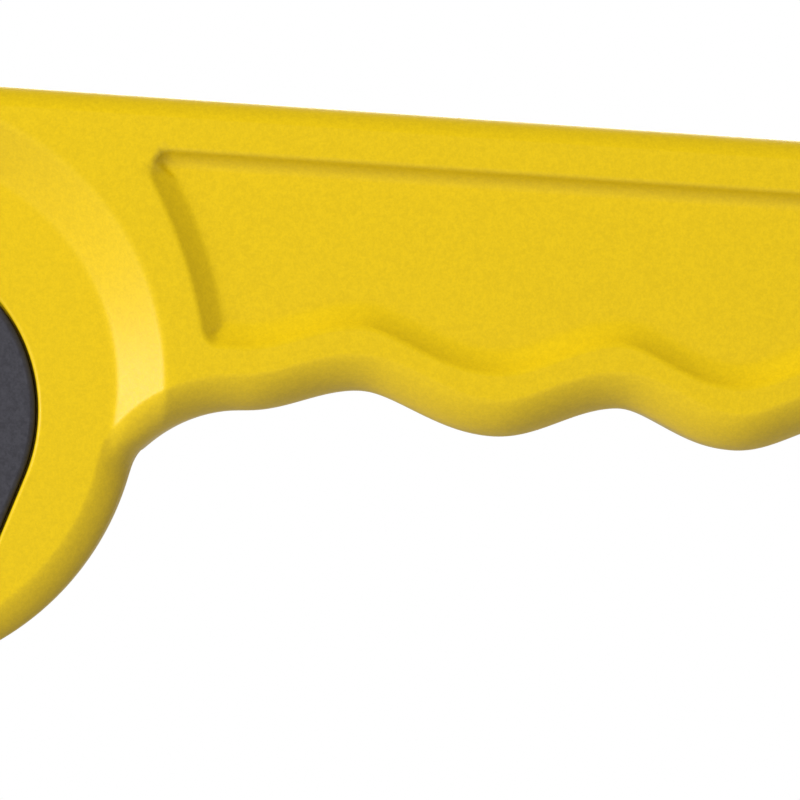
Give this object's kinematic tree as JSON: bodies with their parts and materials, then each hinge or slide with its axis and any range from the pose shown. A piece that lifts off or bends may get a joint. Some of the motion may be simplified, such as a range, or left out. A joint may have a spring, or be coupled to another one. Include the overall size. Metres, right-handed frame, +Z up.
{
  "type": "rotary cutter",
  "caption": "Hand-held rotary cutter: a moulded handle with finger grooves carries a round blade, a sliding guard and a clamping knob.",
  "frame": {"origin": "centre of the hanging hole at mid thickness of the handle", "axes": "+X towards the butt of the handle, +Y towards the blade side, +Z up to the top edge"},
  "size_m": [0.1753, 0.0216, 0.0578],
  "materials": {
    "handle_plastic": "satin, finely textured moulding",
    "dark_plastic": "matte, fine speckle",
    "guard_plastic": "matte",
    "blade_steel": "ground and polished",
    "zinc_steel": "zinc plated",
    "eyelet_steel": "nickel plated",
    "spring_steel": "dark spring steel",
    "brass": "turned"
  },
  "bodies": {
    "handle": {"near_shell": "handle_plastic", "far_shell": "handle_plastic", "shell_screws": "zinc_steel", "thread_inserts": "brass", "hang_eyelet": "eyelet_steel", "axle_plate": "dark_plastic", "axle_bolt": "zinc_steel", "axle_sleeve": "zinc_steel", "blade_hub": "brass", "hub_washer": "zinc_steel", "slot_guide": "brass", "guard_washer": "zinc_steel", "spring_washer": "spring_steel", "retaining_clip": "spring_steel"},
    "blade": {"blade": "blade_steel"},
    "guard": {"guard": "guard_plastic", "thumb_tab": "dark_plastic", "tab_rivets": "zinc_steel"},
    "knob": {"knob": "dark_plastic", "knob_insert": "brass"}
  },
  "joints": [
    {"name": "blade_spin", "type": "hinge", "parent": "handle", "child": "blade", "pos_m": [-0.14, 0.0026, -0.005], "axis": [0, 1, 0], "continuous": true},
    {"name": "guard_slide", "type": "slide", "parent": "handle", "child": "guard", "axis": [0.3746, 0, 0.9272], "range_m": [0, 0.006]},
    {"name": "knob_turn", "type": "hinge", "parent": "handle", "child": "knob", "pos_m": [-0.14, 0.01, -0.005], "axis": [0, 1, 0], "range_deg": [0, 360]}
  ]
}
